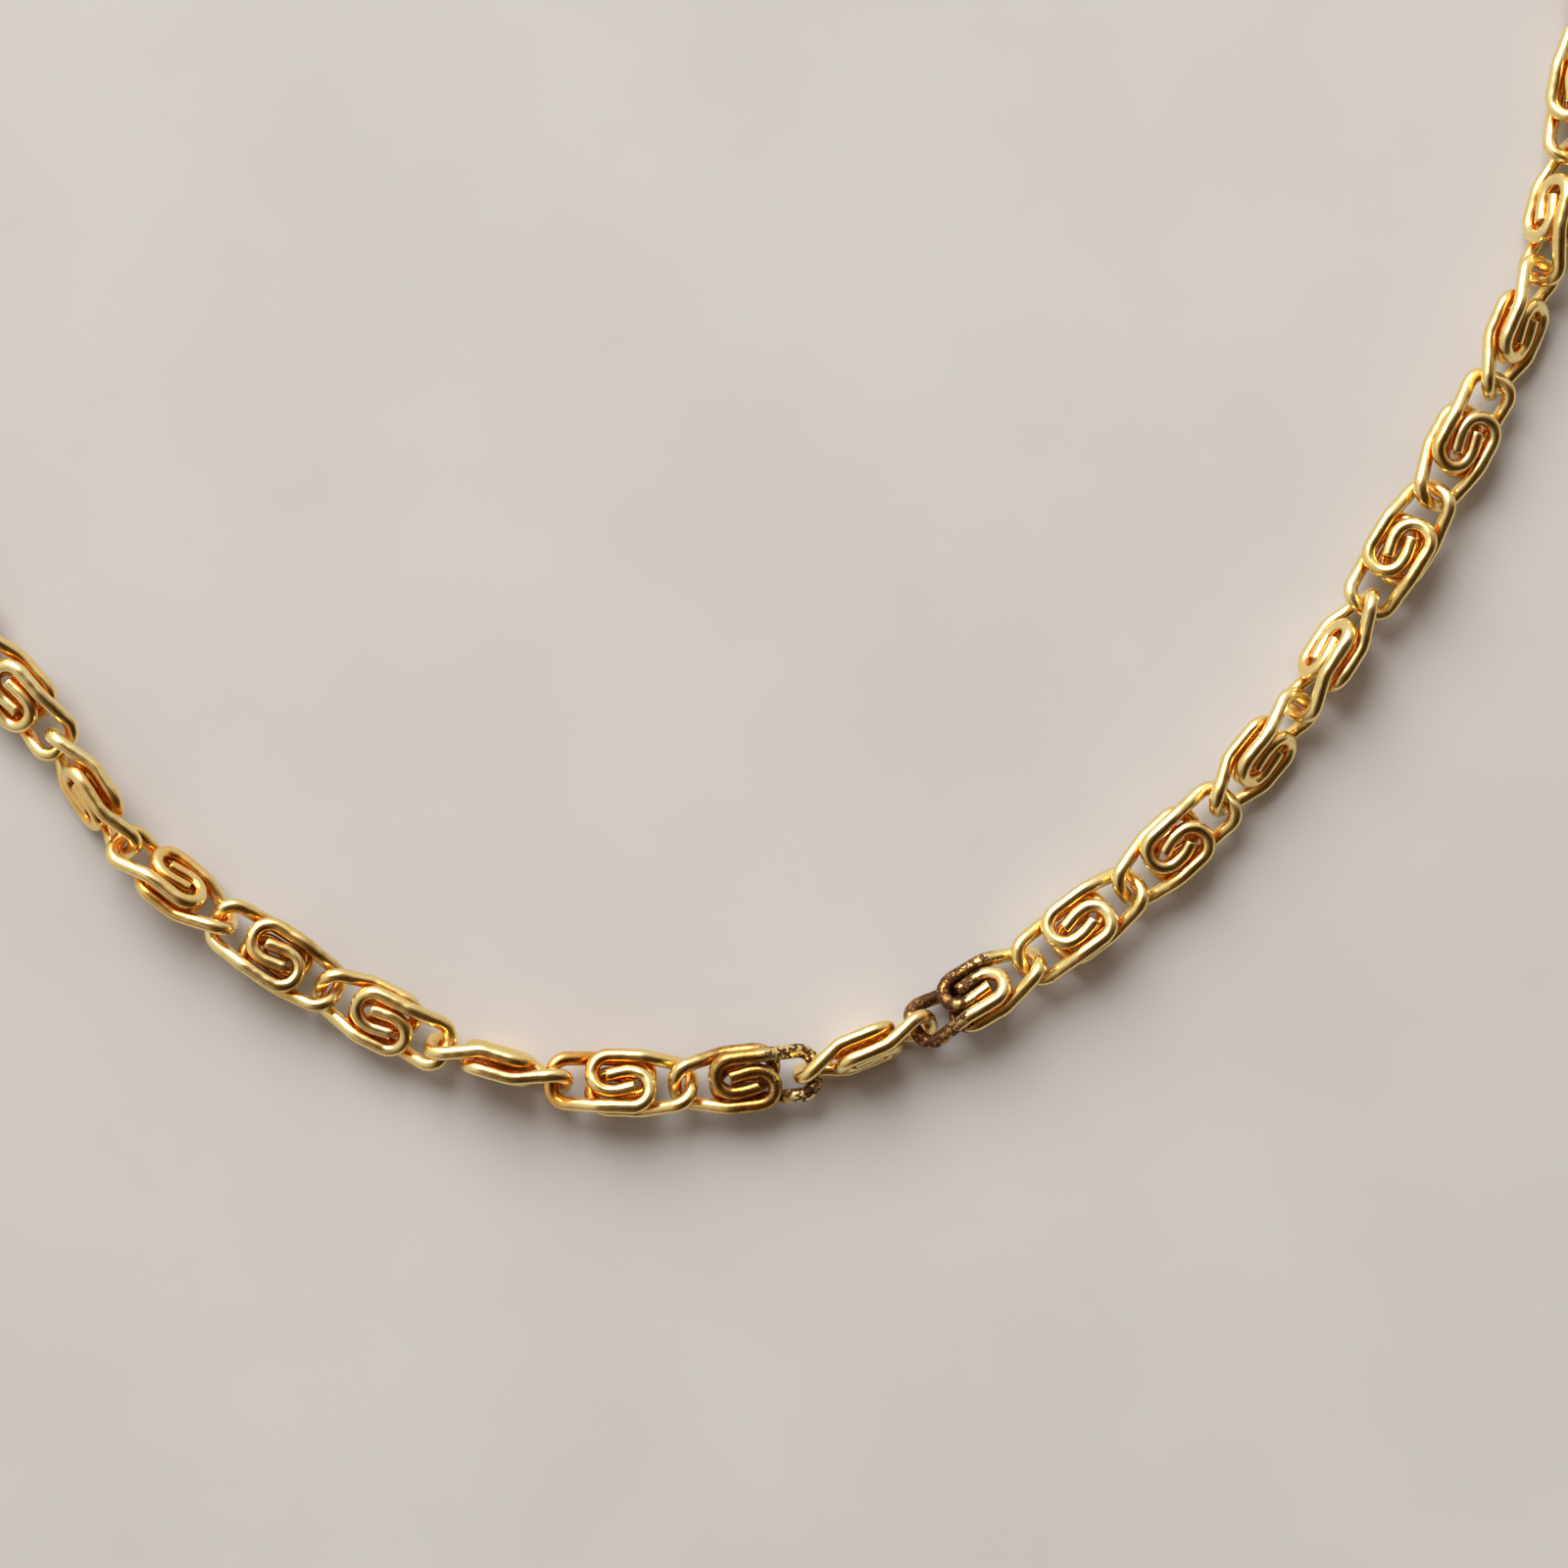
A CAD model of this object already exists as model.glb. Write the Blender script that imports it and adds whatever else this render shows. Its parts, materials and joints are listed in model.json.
"""Eyeglasses chain strap: gold scroll links, and a ring, ferrule, loop and bead at each end."""
import json
import math

import bpy
import numpy as np
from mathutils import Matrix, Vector


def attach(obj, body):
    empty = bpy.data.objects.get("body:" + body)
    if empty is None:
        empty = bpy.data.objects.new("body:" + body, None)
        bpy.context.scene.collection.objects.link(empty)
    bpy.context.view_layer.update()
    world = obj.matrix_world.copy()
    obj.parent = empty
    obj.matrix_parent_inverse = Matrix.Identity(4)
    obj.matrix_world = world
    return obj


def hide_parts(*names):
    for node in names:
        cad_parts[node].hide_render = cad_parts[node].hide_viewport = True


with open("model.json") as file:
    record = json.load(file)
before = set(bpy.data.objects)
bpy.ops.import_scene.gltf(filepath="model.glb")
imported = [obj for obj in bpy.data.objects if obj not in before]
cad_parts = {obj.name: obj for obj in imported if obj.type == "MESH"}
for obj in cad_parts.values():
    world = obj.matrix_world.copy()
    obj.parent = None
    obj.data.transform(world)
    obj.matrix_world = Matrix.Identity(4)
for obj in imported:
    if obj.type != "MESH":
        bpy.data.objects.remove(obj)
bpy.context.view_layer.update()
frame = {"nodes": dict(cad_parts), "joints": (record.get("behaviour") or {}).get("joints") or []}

MM = 0.001
UP = np.array([0.0, 0.0, 1.0])
random = np.random.default_rng(2026)

# ---- Sizes, in millimetres ----
# A link: one bent wire, and the same wire turned half a turn
WIRE_D = 0.95
PLAY = 0.12
TIP = (WIRE_D + PLAY) / 2
PITCH = 8.2
STRAND_Y = 1.70
ARM_Y = STRAND_Y - WIRE_D - 0.07
HOOK_X = 1.95
HOOK_R = (STRAND_Y + ARM_Y) / 2
LAYER_Z = 0.62
LOOP_BEND = 1.05
LOOP_Y = 1.5
LOOP_TWIST = math.radians(26)
EASY_BEND = 1.5

# An end fitting, measured along its own axis from the joint with the last link
RING_WIRE_D = 0.8
RING_D = 3.7
RING_BACK = TIP - WIRE_D / 2 - PLAY - RING_WIRE_D / 2
RING_X = RING_BACK + RING_D / 2
EYE_WIRE_D = 0.7
EYE_D = 1.9
EYE_X = RING_BACK + RING_D - RING_WIRE_D / 2 - PLAY - EYE_WIRE_D / 2 + EYE_D / 2
NECK_X = EYE_X + 0.75
NECK_R = 0.6
TUBE_X = EYE_X + 1.9
FERRULE_R = 1.9
FERRULE_L = 6.6
MOUTH_X = TUBE_X + FERRULE_L
BORE_X = TUBE_X + 0.7
BORE_R = 1.5
GRIP_D = 1.4
STRAND_HALF = 0.75
FLARE_R = 9.6
BEAD_X = MOUTH_X + 0.3
BEAD_L = 4.0
BEAD_R = 2.2
BEAD_TRAVEL = 4.0
SPLIT_X = BEAD_X + BEAD_L + BEAD_TRAVEL + FLARE_R / 3 + 0.2
WIDE_X = SPLIT_X + FLARE_R * 8 / 15
GRIP_HALF_W = STRAND_HALF + FLARE_R * 2 / 5
GRIP_END = WIDE_X + FLARE_R / 3 + GRIP_HALF_W + 1.5

# A wire's mesh, and the finer steps in which its path is laid out and its bends are eased
SIDES = 24
STEP = 0.14
FINE_STEP = 0.035
EASE_REACH = 5

# Marks of making: unevenness and tool nicks in a wire, and the radius kept back for them
KEPT_BACK = 0.004
RIPPLE = 0.022
NICKS = 12
NICK_DEPTH = 0.034
NICK_SPREAD = 0.20
SNIP_LEAN = 0.2

# How near a strand or a joint has to be for a crevice, how far off along the same wire a strand
# has to be to count, and how widely wires are spread in the noise, so that no two look alike
CREVICE_REACH = 0.9
JOINT_REACH = 2.1
CREVICE_APART = 1.6
NOISE_SPAN = 900


# ---- Paths ----
def unit(v):
    return v / np.linalg.norm(v)


def rounded(points, radii, step=0.05):
    """Points along straight lines with an arc of radii[i] at corner i."""
    points = [np.array(p, float) for p in points]
    out = [points[0]]
    for i in range(1, len(points) - 1):
        into = unit(points[i] - points[i - 1])
        away = unit(points[i + 1] - points[i])
        angle = math.acos(np.clip(into @ away, -1, 1))
        start = points[i] - into * radii[i] * math.tan(angle / 2)
        inward = unit(away - into * (into @ away))
        centre = start + inward * radii[i]
        for f in np.linspace(0, angle, max(3, int(radii[i] * angle / step))):
            out.append(centre + radii[i] * (into * math.sin(f) - inward * math.cos(f)))
    out.append(points[-1])
    return np.array(out)


def resample(path, step):
    """The path with points spaced evenly, about one step apart."""
    along = np.r_[0, np.cumsum(np.linalg.norm(np.diff(path, axis=0), axis=1))]
    at = np.linspace(0, along[-1], max(3, round(along[-1] / step)) + 1)
    return np.stack([np.interp(at, along, path[:, k]) for k in range(3)], axis=1)


def eased(path, reach):
    """The path with its changes of curvature spread over about reach points each way."""
    offsets = np.arange(-3 * reach, 3 * reach + 1)
    weight = np.exp(-0.5 * (offsets / reach) ** 2)
    weight /= weight.sum()
    head = 2 * path[0] - path[3 * reach:0:-1]
    tail = 2 * path[-1] - path[-2:-3 * reach - 2:-1]
    padded = np.concatenate([head, path, tail])
    return np.stack([np.convolve(padded[:, k], weight, mode="valid") for k in range(3)], axis=1)


def transported(path, closed=False):
    """Tangents, and two cross directions that turn as little as possible along the path."""
    if closed:
        tangents = np.roll(path, -1, axis=0) - np.roll(path, 1, axis=0)
    else:
        tangents = np.gradient(path, axis=0)
    tangents /= np.linalg.norm(tangents, axis=1)[:, None]
    side = np.cross(tangents[0], UP)
    if np.linalg.norm(side) < 0.1:
        side = np.cross(tangents[0], np.array([1.0, 0.0, 0.0]))
    sides = [unit(side)]
    for i in range(1, len(path)):
        flat = sides[-1] - tangents[i] * (sides[-1] @ tangents[i])
        sides.append(unit(flat))
    sides = np.array(sides)
    return tangents, sides, np.cross(tangents, sides)


# ---- Meshes ----
class Shape:
    """Vertices, faces, and what the materials read at each vertex.

    place is the distance along the wire and the place in its section, in millimetres.
    film and crust are thin and thick tarnish, and crevice is how boxed in the surface is.
    """

    def __init__(self):
        self.points = []
        self.faces = []
        self.place = []
        self.film = []
        self.crust = []
        self.crevice = []
        self.count = 0

    def add(self, points, faces, place, film=0, crust=0, crevice=0):
        self.points.append(points)
        self.faces += [tuple(i + self.count for i in face) for face in faces]
        self.place.append(place)
        for kept, value in ((self.film, film), (self.crust, crust), (self.crevice, crevice)):
            kept.append(np.broadcast_to(value, len(points)))
        self.count += len(points)

    def piece(self, name, basis, origin, material, body, node):
        """Makes the object in place of a CAD node. Local millimetres become shared metres."""
        placed = (np.concatenate(self.points) @ basis.T + origin) * MM
        mesh = bpy.data.meshes.new(name)
        mesh.from_pydata(placed.tolist(), [], self.faces)
        mesh.polygons.foreach_set("use_smooth", [True] * len(mesh.polygons))
        place = mesh.attributes.new("place", "FLOAT_VECTOR", "POINT")
        place.data.foreach_set("vector", np.concatenate(self.place).astype(np.float32).ravel())
        for key in ("film", "crust", "crevice"):
            stored = mesh.attributes.new(key, "FLOAT", "POINT")
            stored.data.foreach_set("value", np.concatenate(getattr(self, key)).astype(np.float32))
        mesh.materials.append(material)
        mesh.update()
        made = bpy.data.objects.new(name, mesh)
        bpy.context.scene.collection.objects.link(made)
        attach(made, body)
        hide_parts(node)


def tube_faces(rings, sides, closed=False):
    faces = []
    for i in range(rings if closed else rings - 1):
        a = i * sides
        b = (i + 1) % rings * sides
        for k in range(sides):
            n = (k + 1) % sides
            faces.append((a + k, a + n, b + n, b + k))
    return faces


def ring_points(centres, across, up, radii, sides):
    """Rings of vertices. radii has one row for each ring and one column for each side."""
    angle = np.arange(sides) * 2 * math.pi / sides
    ring = (across[:, None, :] * np.cos(angle)[None, :, None]
            + up[:, None, :] * np.sin(angle)[None, :, None])
    return centres[:, None, :] + ring * radii[:, :, None]


def swept(path, radius, relief=None, cut=0.05, tilts=(0, 0), sides=SIDES):
    """A solid wire along the path, cut flat at both ends with a small bevel.

    relief(along, angle) is added to the radius. tilts lean the two cut faces, as snips do.
    Returns the points, the faces, each point's place on the wire, and the directions outward.
    """
    tangents, across, up = transported(path)
    along = np.r_[0, np.cumsum(np.linalg.norm(np.diff(path, axis=0), axis=1))]
    angle = np.arange(sides) * 2 * math.pi / sides
    radii = np.full((len(path), sides), radius)
    if relief:
        radii = radii + relief(along[:, None], angle[None, :])
    # Each end: a flat face of three rings, then a bevel of two
    inset = [0.0, 0.0, 0.0, 0.35 * cut, cut]
    share = [0.30, 0.62, 1 - 1.1 * cut / radius, 1 - 0.35 * cut / radius, 1.0]
    lean = radius * np.cos(angle)
    blocks = []
    for end, tilt in ((0, tilts[0]), (-1, tilts[1])):
        inward = tangents[end] if end == 0 else -tangents[end]
        rows = []
        for depth, part in zip(inset, share):
            base = path[end] + inward * (depth + cut)
            row = ring_points(base[None], across[end][None], up[end][None],
                              radii[end][None] * part, sides)[0]
            rows.append(row + inward * (part * lean * tilt)[:, None])
        blocks.append(np.array(rows))
    skip = int(math.ceil((2 * cut + radius * max(np.abs(tilts)) + 0.03) / along[1]))
    body = ring_points(path, across, up, radii, sides)[skip:-skip]
    grid = np.concatenate([blocks[0], body, blocks[1][::-1]])
    near = np.concatenate([np.zeros(5, int), np.arange(skip, len(path) - skip),
                           np.full(5, len(path) - 1)])
    place = np.stack([np.repeat(along[near], sides),
                      np.tile(np.cos(angle) * radius, len(grid)),
                      np.tile(np.sin(angle) * radius, len(grid))], axis=1)
    outward = ring_points(np.zeros((len(near), 3)), across[near], up[near],
                          np.ones((len(near), sides)), sides).reshape(-1, 3)
    points, faces = closed_ends(grid)
    place = np.concatenate([place, [[along[0], 0, 0], [along[-1], 0, 0]]])
    outward = np.concatenate([outward, [-tangents[0], tangents[-1]]])
    return points, faces, place, outward


def closed_ends(grid):
    """Points and faces of a tube whose two open ends are closed by a fan of triangles."""
    rings, sides = grid.shape[:2]
    faces = tube_faces(rings, sides)
    first_hub = rings * sides
    last_row = first_hub - sides
    for k in range(sides):
        n = (k + 1) % sides
        faces.append((first_hub, n, k))
        faces.append((first_hub + 1, last_row + k, last_row + n))
    hubs = np.array([grid[0].mean(axis=0), grid[-1].mean(axis=0)])
    return np.concatenate([grid.reshape(-1, 3), hubs]), faces


def turned(outline, sides=64, relief=None, hollow=False):
    """Points and faces of a solid turned about the X axis, from an outline of (x, radius).

    The outline runs from axis to axis, or right round the section if the solid is hollow.
    """
    inner = outline if hollow else outline[1:-1]
    angle = np.arange(sides) * 2 * math.pi / sides
    radii = np.repeat(inner[:, 1:2], sides, axis=1)
    if relief:
        radii = radii + relief(inner[:, :1], angle[None, :])
    grid = np.stack([np.repeat(inner[:, :1], sides, axis=1),
                     radii * np.cos(angle)[None, :],
                     radii * np.sin(angle)[None, :]], axis=2)
    if hollow:
        return grid.reshape(-1, 3), tube_faces(len(inner), sides, closed=True)
    points, faces = closed_ends(grid)
    points[-2:] = [[outline[0][0], 0, 0], [outline[-1][0], 0, 0]]
    return points, faces


def waves(lengths, size):
    """A smooth random function of length along the wire and angle round it."""
    terms = [(2 * math.pi / length, random.integers(0, 3), random.uniform(0, 2 * math.pi),
              size * random.uniform(0.5, 1.0) / len(lengths)) for length in lengths]

    def value(along, angle):
        return sum(a * np.sin(k * along + n * angle + phase) for k, n, phase, a in terms)

    return value


def dents(total, count, depth, spread):
    """Small shallow marks left by tools, scattered along a wire."""
    marks = [(random.uniform(0, total), random.uniform(0, 2 * math.pi),
              depth * random.uniform(0.3, 1.0), spread * random.uniform(0.6, 1.6))
             for _ in range(count)]

    def value(along, angle):
        total_depth = 0.0
        for s, a, d, w in marks:
            turn = (angle - a + math.pi) % (2 * math.pi) - math.pi
            total_depth = total_depth - d * np.exp(
                -((along - s) ** 2 + (WIRE_D / 2 * turn) ** 2) / (2 * w * w))
        return total_depth

    return value


# ---- Materials ----
class Nodes:
    """Short calls for building a material's nodes."""

    def __init__(self, name):
        self.material = bpy.data.materials.new(name)
        self.material.use_nodes = True
        self.tree = self.material.node_tree
        self.shader = self.tree.nodes["Principled BSDF"]

    def add(self, kind, **settings):
        node = self.tree.nodes.new(kind)
        for key, value in settings.items():
            setattr(node, key, value)
        return node

    def link(self, source, target):
        self.tree.links.new(source, target)

    def attribute(self, name):
        return self.add("ShaderNodeAttribute", attribute_name=name)

    def noise(self, vector, scale, detail=3.0, stretch=None):
        if stretch:
            mapping = self.add("ShaderNodeMapping")
            mapping.inputs["Scale"].default_value = stretch
            self.link(vector, mapping.inputs["Vector"])
            vector = mapping.outputs["Vector"]
        node = self.add("ShaderNodeTexNoise")
        node.inputs["Scale"].default_value = scale
        node.inputs["Detail"].default_value = detail
        self.link(vector, node.inputs["Vector"])
        return node.outputs["Fac"]

    def map(self, source, low, high, out_low, out_high, smooth=True):
        node = self.add("ShaderNodeMapRange")
        node.interpolation_type = "SMOOTHSTEP" if smooth else "LINEAR"
        for name, value in (("From Min", low), ("From Max", high),
                            ("To Min", out_low), ("To Max", out_high)):
            node.inputs[name].default_value = value
        self.link(source, node.inputs["Value"])
        return node.outputs["Result"]

    def math(self, operation, a, b):
        node = self.add("ShaderNodeMath", operation=operation)
        for socket, value in zip(node.inputs, (a, b)):
            if isinstance(value, (int, float)):
                socket.default_value = value
            else:
                self.link(value, socket)
        return node.outputs[0]

    def scaled(self, source, share):
        return self.math("MULTIPLY", source, share)

    def total(self, *sources):
        result = sources[0]
        for source in sources[1:]:
            result = self.math("ADD", result, source)
        return result

    def mix(self, factor, a, b):
        """Mixes two colours, each a colour value or a socket."""
        node = self.add("ShaderNodeMix", data_type="RGBA")
        sockets = [s for s in node.inputs if s.type == "RGBA"]
        self.link(factor, node.inputs[0])
        for socket, value in zip(sockets, (a, b)):
            if isinstance(value, tuple):
                socket.default_value = (*value, 1)
            else:
                self.link(value, socket)
        return [s for s in node.outputs if s.type == "RGBA"][0]

    def bump(self, height, strength, distance, normal=None):
        node = self.add("ShaderNodeBump")
        node.inputs["Strength"].default_value = strength
        node.inputs["Distance"].default_value = distance
        self.link(height, node.inputs["Height"])
        if normal:
            self.link(normal, node.inputs["Normal"])
        return node.outputs["Normal"]


def gold_material(name, smoothness=1.0):
    """Polished gold plating with drawn lines, orange crevices, brown film and dark crust."""
    n = Nodes(name)
    at = n.attribute("place").outputs["Vector"]
    crevice = n.attribute("crevice").outputs["Fac"]
    warmth = n.noise(at, 0.07, 1)
    patches = n.noise(at, 0.8, 2)
    streaks = n.noise(at, 1.0, 4, stretch=(0.5, 9, 9))
    blotches = n.noise(at, 1.6, 4)
    specks = n.noise(at, 3.4, 6)
    grain = n.noise(at, 16, 3)

    # Plating, richer on some links than on others and deepest where the wires meet
    pale = n.mix(n.map(patches, 0.35, 0.7, 0, 1), (1.0, 0.82, 0.37), (1.0, 0.78, 0.31))
    plating = n.mix(n.map(warmth, 0.4, 0.62, 0, 0.6), pale, (1.0, 0.71, 0.22))
    deep = n.mix(n.map(crevice, 0.12, 0.6, 0, 0.95), plating, (0.90, 0.40, 0.05))
    soiled = n.mix(n.map(crevice, 0.75, 1.0, 0, 0.8), deep, (0.35, 0.13, 0.02))

    # Brown film, smooth and see-through, then crust with gold still showing between its edges
    film_spread = n.total(n.scaled(n.attribute("film").outputs["Fac"], 0.9),
                          n.scaled(blotches, 0.5), n.scaled(crevice, 0.25))
    film = n.map(film_spread, 0.55, 1.05, 0, 0.92)
    brown = n.mix(n.map(specks, 0.35, 0.65, 0, 1), (0.36, 0.14, 0.02), (0.64, 0.34, 0.08))
    filmed = n.mix(film, soiled, brown)
    crust_spread = n.total(n.scaled(n.attribute("crust").outputs["Fac"], 0.55),
                           n.scaled(specks, 0.8), n.scaled(crevice, 0.15))
    crust = n.map(crust_spread, 0.92, 0.96, 0, 1)
    dark = n.mix(n.map(grain, 0.35, 0.65, 0, 1), (0.05, 0.02, 0.011), (0.16, 0.06, 0.02))
    n.link(n.mix(crust, filmed, dark), n.shader.inputs["Base Color"])
    n.link(n.map(crust, 0, 1, 1, 0.8), n.shader.inputs["Metallic"])

    polish = n.map(streaks, 0.3, 0.7, 0.18 / smoothness, 0.34 / smoothness)
    n.link(n.total(polish, n.scaled(crust, 0.22), n.scaled(film, 0.04)),
           n.shader.inputs["Roughness"])
    lines = n.bump(streaks, 0.5, 0.012 * MM)
    scale = n.bump(n.math("MULTIPLY", specks, crust), 0.8, 0.10 * MM, lines)
    n.link(scale, n.shader.inputs["Normal"])
    return n.material


def rubber_material(name, base, worn, roughness):
    """Soft moulded rubber with a fine skin and a little dust."""
    n = Nodes(name)
    at = n.attribute("place").outputs["Vector"]
    skin = n.noise(at, 16, 4)
    dust = n.noise(at, 1.3, 5)
    n.link(n.mix(n.map(dust, 0.45, 0.75, 0, 1), base, worn), n.shader.inputs["Base Color"])
    n.link(n.map(dust, 0.3, 0.7, roughness, roughness + 0.18), n.shader.inputs["Roughness"])
    n.shader.inputs["Specular IOR Level"].default_value = 0.4
    n.link(n.bump(skin, 0.5, 0.03 * MM), n.shader.inputs["Normal"])
    return n.material


def floor_material():
    """Pale warm grey board with a very faint mottle."""
    n = Nodes("floor_board")
    where = n.add("ShaderNodeTexCoord").outputs["Object"]
    mottle = n.noise(where, 45, 4)
    n.link(n.mix(n.map(mottle, 0.3, 0.7, 0, 1), (0.60, 0.575, 0.515), (0.63, 0.605, 0.545)),
           n.shader.inputs["Base Color"])
    n.shader.inputs["Roughness"].default_value = 0.85
    return n.material


SCROLL_GOLD = gold_material("scroll_gold")
FITTING_GOLD = gold_material("fitting_gold", smoothness=1.15)
GRIP_RUBBER = rubber_material("grip_rubber", (0.018, 0.018, 0.019), (0.045, 0.043, 0.041), 0.42)
BEAD_RUBBER = rubber_material("bead_rubber", (0.022, 0.021, 0.020), (0.06, 0.056, 0.052), 0.36)


# ---- Where the links are, from the joints ----
JOINTS = {j["name"]: j for j in frame["joints"]}
ROOT = 26
LINKS = sorted(n for n in frame["nodes"] if n.startswith("link_"))


def pin(name):
    """A hinge's place in millimetres, and its axis."""
    joint = JOINTS[name]
    return np.array(joint["pos_m"], float) / MM, unit(np.array(joint["axis"], float))


def turned_about(v, axis, angle):
    return (v * math.cos(angle) + np.cross(axis, v) * math.sin(angle)
            + axis * (axis @ v) * (1 - math.cos(angle)))


def link_places():
    """Centre and basis of each link, and the two end joints of the chain."""
    count = len(LINKS)
    places = {}

    def outer(i, right):
        if right:
            return pin("right_ring_hinge" if i == count else f"joint_{i:02d}_{i + 1:02d}")
        return pin("left_ring_hinge" if i == 1 else f"joint_{i - 1:02d}_{i:02d}")

    def place(i, x, centre, axis, right):
        y = turned_about(axis, x, LOOP_TWIST if right else -LOOP_TWIST)
        places[i] = (centre, np.stack([x, y, np.cross(x, y)], axis=1))

    right_pin, axis = outer(ROOT, True)
    left_pin, _ = outer(ROOT, False)
    x = unit(right_pin - left_pin)
    place(ROOT, x, (left_pin + right_pin) / 2, axis, True)
    ends = {}
    for right, steps in ((True, range(ROOT + 1, count + 1)), (False, range(ROOT - 1, 0, -1))):
        start = right_pin - TIP * x if right else left_pin + TIP * x
        for i in steps:
            far, axis = outer(i, right)
            away = unit(far - start)
            end = far - TIP * away
            place(i, away if right else -away, (start + end) / 2, axis, right)
            start = end
        ends["right" if right else "left"] = (start, away)
    return places, ends


# ---- Scroll links ----
def curl(end_x, rise, elbow_x, shoulder_x):
    """Half a wire: from its end inside the scroll, round its hook and out to the end loop."""
    return [[end_x, rise - ARM_Y, LAYER_Z],
            [elbow_x, -ARM_Y, LAYER_Z],
            [-HOOK_X, -ARM_Y, LAYER_Z],
            [-HOOK_X, STRAND_Y, LAYER_Z],
            [shoulder_x, STRAND_Y, LAYER_Z],
            [(PITCH + 2 * TIP) / 2, LOOP_Y * math.cos(LOOP_TWIST), -LOOP_Y * math.sin(LOOP_TWIST)]]


def wire_path(front, back):
    """One wire of a link: a curl on the front, an end loop, and a curl on the back."""
    bends = [0, EASY_BEND, HOOK_R, HOOK_R, EASY_BEND, LOOP_BEND]
    back_curl = [[x, -y, -z] for x, y, z in reversed(curl(*back))]
    path = rounded(curl(*front) + back_curl, bends + bends[::-1])
    return resample(eased(resample(path, FINE_STEP), EASE_REACH), STEP)


def link_curls():
    """A bender's hand is never quite the same: where the two wires of one face end and bend."""
    rise = random.uniform(0.22, 0.36)
    elbow_x = random.uniform(-0.6, 0.0)
    return [(random.uniform(0.95, 1.04), rise, elbow_x, random.uniform(1.1, 1.6))
            for _ in range(2)]


def crevices(points, outward, own, other):
    """How closely each surface point faces a neighbouring strand or a joint, from 0 to 1."""
    deepest = np.zeros(len(points))
    along = np.arange(len(own)) * STEP
    at = np.minimum(np.arange(len(points)) // SIDES, len(own) - 1)
    for line, is_own in ((own, True), (other, False)):
        for k in range(0, len(line), 3):
            gap = line[k] - points
            distance = np.linalg.norm(gap, axis=1)
            facing = np.einsum("ij,ij->i", gap, outward) / distance
            near = 1 - (distance - WIRE_D / 2) / CREVICE_REACH
            depth = np.clip(facing, 0, 1) * np.clip(near, 0, 1)
            if is_own:
                depth = depth * (np.abs(along[at] - along[k]) > CREVICE_APART)
            deepest = np.maximum(deepest, depth)
    for joint_x in (-PITCH / 2, PITCH / 2):
        gap = np.array([joint_x, 0, 0]) - points
        distance = np.linalg.norm(gap, axis=1)
        facing = np.einsum("ij,ij->i", gap, outward) / distance
        depth = np.clip(0.4 + 0.6 * facing, 0, 1) * np.clip(1 - distance / JOINT_REACH, 0, 1)
        deepest = np.maximum(deepest, depth)
    return deepest


# Wear on some links: how orange the plating is, the brown film and the dark crust, each at the
# left end, in the middle and at the right end, and then how far the wear leans across the link
WEAR = {
    20: ((0.25, 0.2, 0.2), (0.2, 0.1, 0.0), (0, 0, 0), 0),
    21: ((0.3, 0.4, 0.3), (0, 0, 0), (0, 0, 0), 0),
    22: ((0.3, 0.5, 0.3), (0, 0, 0), (0, 0, 0), 0),
    23: ((0.2, 0.2, 0.2), (0.3, 0.5, 0.5), (0.2, 0.35, 0.5), 0),
    24: ((0.2, 0.2, 0.2), (0.1, 0.2, 0.1), (0, 0, 0), 0),
    25: ((0.3, 0.3, 0.3), (0, 0, 0), (0, 0, 0), 0),
    26: ((0.7, 0.3, 0.0), (0.1, 0.1, 0.2), (0, 0, 0.4), 0.9),
    27: ((0.4, 0.2, 0.0), (0.3, 1.05, 0.4), (0.2, 0.5, 1.0), -0.3),
    28: ((0.1, 0.1, 0.0), (0.3, 0.1, 0.1), (0.6, 0.1, 0.1), 0),
    29: ((0.1, 0.1, 0.0), (0.9, 0.6, 0.0), (1.0, 0.95, 0.0), -1.0),
    31: ((0, 0.1, 0.2), (0, 0.2, 0.4), (0, 0.1, 0.65), 0.6),
}
UNWORN = ((0, 0, 0), (0, 0, 0), (0, 0, 0), 0)
# How far from the middle the end values hold, and how much crevice colour full orange adds
WEAR_REACH = 3.2
ORANGE_DEPTH = 0.6


def build_link(i, centre, basis):
    shape = Shape()
    orange, film, crust, lean = WEAR.get(i, UNWORN)
    fronts, backs = link_curls(), link_curls()
    paths = [wire_path(fronts[k], backs[k]) * np.array([turn, turn, 1])
             for k, turn in enumerate((1, -1))]
    for path, other in (paths, paths[::-1]):
        total = STEP * len(path)
        ripple = waves((0.9, 1.7, 3.1, 5.3), RIPPLE)
        nicks = dents(total, NICKS, NICK_DEPTH, NICK_SPREAD)
        tilts = random.uniform(-SNIP_LEAN, SNIP_LEAN, 2)
        points, faces, place, outward = swept(
            path, WIRE_D / 2 - KEPT_BACK, lambda a, b: ripple(a, b) + nicks(a, b), tilts=tilts)
        place[:, 0] += random.uniform(0, NOISE_SPAN)
        where = points[:, 0] - lean * points[:, 1]
        stops = (-WEAR_REACH, 0, WEAR_REACH)
        deep = crevices(points, outward, path, other)
        deep = deep + ORANGE_DEPTH * np.interp(where, stops, orange)
        shape.add(points, faces, place, np.interp(where, stops, film),
                  np.interp(where, stops, crust), deep)
    name = f"link_{i:02d}"
    shape.piece(f"{name}.wires", basis, centre, SCROLL_GOLD, name, name)


# ---- End fittings ----
def circle(centre_x, radius, normal, angle):
    """Points round a circle that holds the fitting's axis and is square to the normal."""
    spread = np.cross(normal, np.array([1.0, 0.0, 0.0]))
    return (np.array([centre_x, 0, 0]) + radius * (np.cos(angle)[:, None] * np.array([1.0, 0, 0])
                                                   + np.sin(angle)[:, None] * spread))


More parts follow.
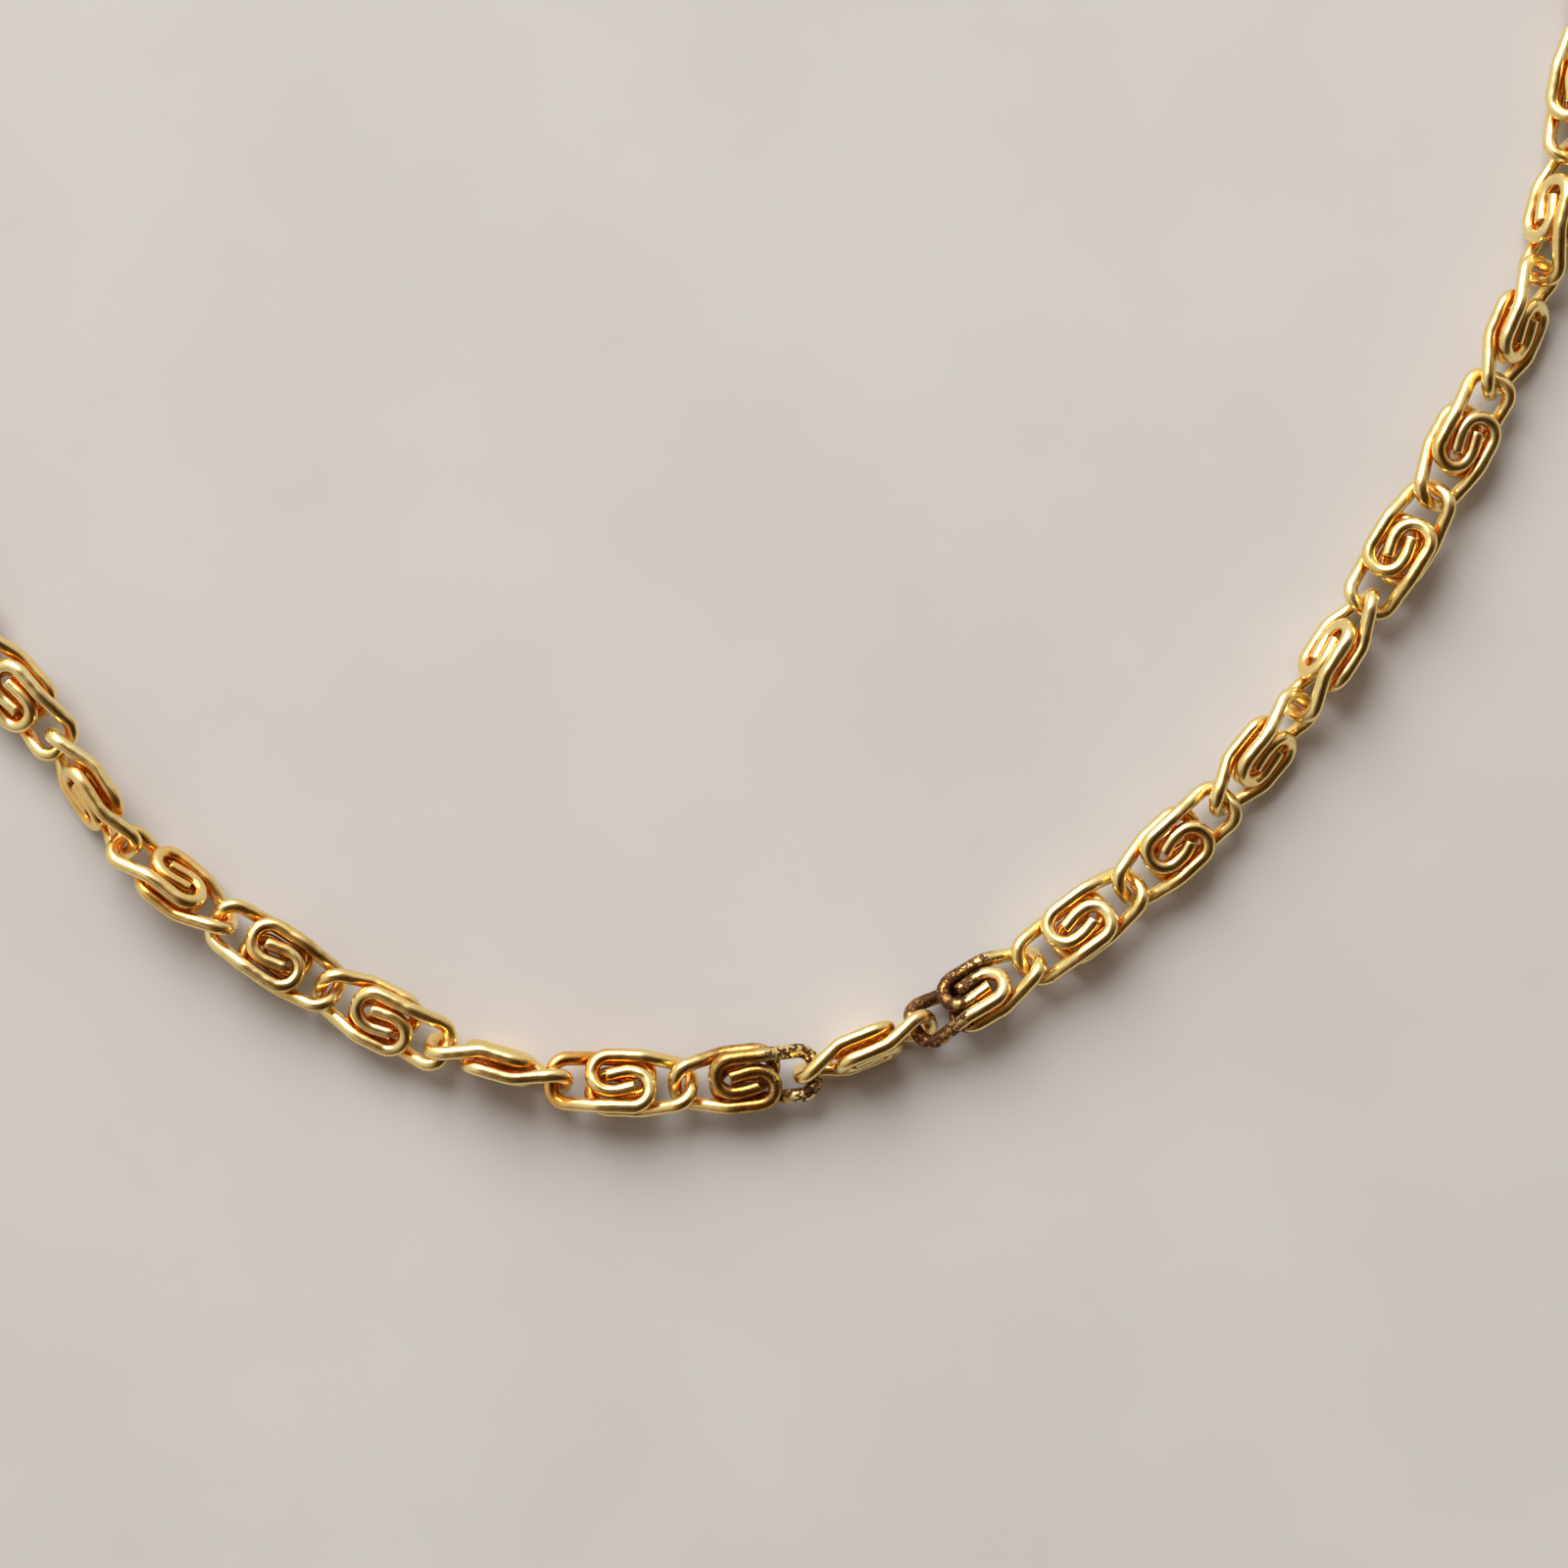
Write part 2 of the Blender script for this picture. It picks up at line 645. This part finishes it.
def build_ring(side, basis, origin, normal):
    """A jump ring: one turn of wire with its two cut ends almost meeting."""
    seam = 0.03
    start = math.radians(125)
    angle = np.linspace(start + seam / 2, start + 2 * math.pi - seam / 2, 120)
    shape = Shape()
    shape.add(*swept(circle(RING_X, RING_D / 2, normal, angle), RING_WIRE_D / 2,
                     waves((0.9, 2.3), 0.010), cut=0.02)[:3])
    name = f"{side}_ring"
    shape.piece(f"{name}.wire", basis, origin, FITTING_GOLD, name, name)


def build_ferrule(side, basis, origin, eye_normal):
    """A turned end cap with a rolled lip, and the eye that is soldered to its neck."""
    shape = Shape()
    r = FERRULE_R
    groove = 0.14
    flat = [[NECK_X, 0, 0], [NECK_X, NECK_R, 0], [NECK_X + 0.35, NECK_R, 0],
            [TUBE_X - 0.1, r, 0], [TUBE_X + 0.9, r, 0],
            [TUBE_X + 1.0, r - groove, 0], [TUBE_X + 1.3, r - groove, 0], [TUBE_X + 1.4, r, 0],
            [MOUTH_X - 2.0, r, 0],
            [MOUTH_X - 1.9, r - groove, 0], [MOUTH_X - 1.6, r - groove, 0], [MOUTH_X - 1.5, r, 0],
            [MOUTH_X - 0.75, r - 0.06, 0], [MOUTH_X - 0.62, r, 0], [MOUTH_X, r, 0],
            [MOUTH_X, BORE_R, 0], [BORE_X, BORE_R, 0], [BORE_X, 0, 0]]
    bends = [0, 0.12, 0.25, 0.6, 0.05, 0.05, 0.05, 0.05, 0.05, 0.05, 0.05, 0.05,
             0.1, 0.1, 0.18, 0.18, 0.1, 0]
    points, faces = turned(rounded(flat, bends, step=0.02)[:, :2], relief=waves((2.1, 4.7), 0.006))
    shape.add(points, faces, points)
    angle = np.linspace(0, 2 * math.pi, 97)[:-1] + math.pi
    eye = circle(EYE_X, EYE_D / 2, eye_normal, angle)
    across, up = transported(eye, closed=True)[1:]
    grid = ring_points(eye, across, up, np.full((len(eye), SIDES), EYE_WIRE_D / 2), SIDES)
    points = grid.reshape(-1, 3)
    shape.add(points, tube_faces(len(eye), SIDES, closed=True), points)
    name = f"{side}_ferrule"
    shape.piece(f"{name}.cap", basis, origin, FITTING_GOLD, f"{side}_end", name)


def build_grip(side, basis, origin):
    """The rubber strand: two legs side by side that open into the loop for the temple arm."""
    half = [[BORE_X + 0.4, STRAND_HALF, 0], [SPLIT_X, STRAND_HALF, 0],
            [WIDE_X, GRIP_HALF_W, 0], [GRIP_END, GRIP_HALF_W, 0]]
    bends = [0, FLARE_R, FLARE_R, GRIP_HALF_W]
    other_half = [[x, -y, z] for x, y, z in reversed(half)]
    path = rounded(half + other_half, bends + bends[::-1], step=0.15)
    path = resample(eased(resample(path, 0.2), 4), 0.25)
    shape = Shape()
    shape.add(*swept(path, GRIP_D / 2 - 0.005, waves((2.3, 4.1, 7.9), 0.012))[:3])
    name = f"{side}_grip_loop"
    shape.piece(f"{name}.strand", basis, origin, GRIP_RUBBER, f"{side}_end", name)


def build_slider(side, basis, origin):
    """The ribbed bead that slides along both legs."""
    ribs = 5
    start = BEAD_X + 0.35
    span = (BEAD_L - 0.7) / ribs
    groove = 0.16
    flat = [[BEAD_X, BORE_R, 0], [BEAD_X, BEAD_R - groove, 0]]
    bends = [0, 0.3]
    for k in range(ribs):
        a = start + k * span
        flat += [[a, BEAD_R - groove, 0], [a + 0.1 * span, BEAD_R, 0],
                 [a + 0.75 * span, BEAD_R, 0], [a + 0.85 * span, BEAD_R - groove, 0]]
        bends += [0.03, 0.06, 0.06, 0.03]
    flat += [[BEAD_X + BEAD_L, BEAD_R - groove, 0], [BEAD_X + BEAD_L, BORE_R, 0],
             [BEAD_X, BORE_R, 0]]
    bends += [0.3, 0.2, 0]
    points, faces = turned(rounded(flat, bends, step=0.02)[:-1], hollow=True)
    shape = Shape()
    shape.add(points, faces, points)
    name = f"{side}_slider"
    shape.piece(f"{name}.bead", basis, origin, BEAD_RUBBER, f"{side}_bead", name)


def build_fitting(side, origin, away):
    basis = np.stack([away, np.cross(UP, away), UP], axis=1)
    build_ring(side, basis, origin, basis.T @ pin(f"{side}_ring_hinge")[1])
    build_ferrule(side, basis, origin, basis.T @ pin(f"{side}_end_hinge")[1])
    build_grip(side, basis, origin)
    build_slider(side, basis, origin)


places, ends = link_places()
for i in sorted(places):
    build_link(i, *places[i])
for side, (origin, away) in ends.items():
    build_fitting(side, origin, away)


# ---- Floor, light and camera ----
def build_floor():
    half = 3.0
    mesh = bpy.data.meshes.new("floor")
    mesh.from_pydata([(-half, -half, 0), (half, -half, 0), (half, half, 0), (-half, half, 0)],
                     [], [(0, 1, 2, 3)])
    mesh.materials.append(floor_material())
    made = bpy.data.objects.new("floor", mesh)
    bpy.context.scene.collection.objects.link(made)


def soft_light(name, where, size, power, colour, target):
    data = bpy.data.lights.new(name, "AREA")
    data.shape = "DISK"
    data.size = size
    data.energy = power
    data.color = colour
    made = bpy.data.objects.new(name, data)
    made.location = where
    made.rotation_euler = (Vector(target) - Vector(where)).to_track_quat("-Z", "Y").to_euler()
    made.visible_camera = False
    bpy.context.scene.collection.objects.link(made)


def studio_light(focus):
    """A room pale to the upper left, warm and dim overhead and to the lower right, and a window."""
    world = bpy.data.worlds.new("studio")
    bpy.context.scene.world = world
    world.use_nodes = True
    tree = world.node_tree
    background = tree.nodes["Background"]
    direction = tree.nodes.new("ShaderNodeTexCoord").outputs["Generated"]

    def toward(axis, low_angle, high_angle, low, high):
        """A value that changes with the angle between the view into the room and the axis."""
        dot = tree.nodes.new("ShaderNodeVectorMath")
        dot.operation = "DOT_PRODUCT"
        dot.inputs[1].default_value = Vector(axis).normalized()
        tree.links.new(direction, dot.inputs[0])
        ramp = tree.nodes.new("ShaderNodeMapRange")
        ramp.interpolation_type = "SMOOTHSTEP"
        for name, value in (("From Min", math.cos(math.radians(low_angle))),
                            ("From Max", math.cos(math.radians(high_angle))),
                            ("To Min", low), ("To Max", high)):
            ramp.inputs[name].default_value = value
        tree.links.new(dot.outputs["Value"], ramp.inputs["Value"])
        return ramp.outputs["Result"]

    pale_side = (-0.45, 0.75, 0.35)
    overhead = (0.18, -0.18, 1.0)
    dim_side = (0.65, -0.65, 0.50)
    strength = toward(pale_side, 150, 20, 0.15, 0.79)
    for shade in (toward(overhead, 46, 26, 1.0, 0.23), toward(dim_side, 65, 25, 1.0, 0.28)):
        both = tree.nodes.new("ShaderNodeMath")
        both.operation = "MULTIPLY"
        tree.links.new(strength, both.inputs[0])
        tree.links.new(shade, both.inputs[1])
        strength = both.outputs[0]
    tree.links.new(strength, background.inputs["Strength"])
    tint = tree.nodes.new("ShaderNodeValToRGB")
    dim, pale = tint.color_ramp.elements
    dim.position, dim.color = 0.05, (1.0, 0.47, 0.09, 1)
    pale.position, pale.color = 0.6, (1.0, 0.99, 1.0, 1)
    tree.links.new(strength, tint.inputs["Fac"])
    tree.links.new(tint.outputs["Color"], background.inputs["Color"])
    window = focus + Vector((-0.33, 0.78, 0.74))
    soft_light("window", window, 0.95, 13.9, (1.0, 1.0, 1.10), focus)


def photo_camera(focus):
    """Straight down over the front curve, at the distance of a close hand-held picture."""
    field = 0.1032
    distance = 0.35
    data = bpy.data.cameras.new("camera")
    data.sensor_width = 36
    data.lens = data.sensor_width * distance / field
    data.clip_start = 0.01
    made = bpy.data.objects.new("camera", data)
    made.location = focus + Vector((0, 0, distance))
    bpy.context.scene.collection.objects.link(made)
    bpy.context.scene.camera = made


# The picture's middle, in metres from the joint at the right end of the root link
PICTURE_MIDDLE = (0.00664, 0.01981, 0)
root_centre, root_basis = places[ROOT]
joint_at = (root_centre + root_basis[:, 0] * PITCH / 2) * MM
focus = Vector(joint_at) + Vector(PICTURE_MIDDLE)
build_floor()
studio_light(focus)
photo_camera(focus)
bpy.context.scene.view_settings.view_transform = "Standard"
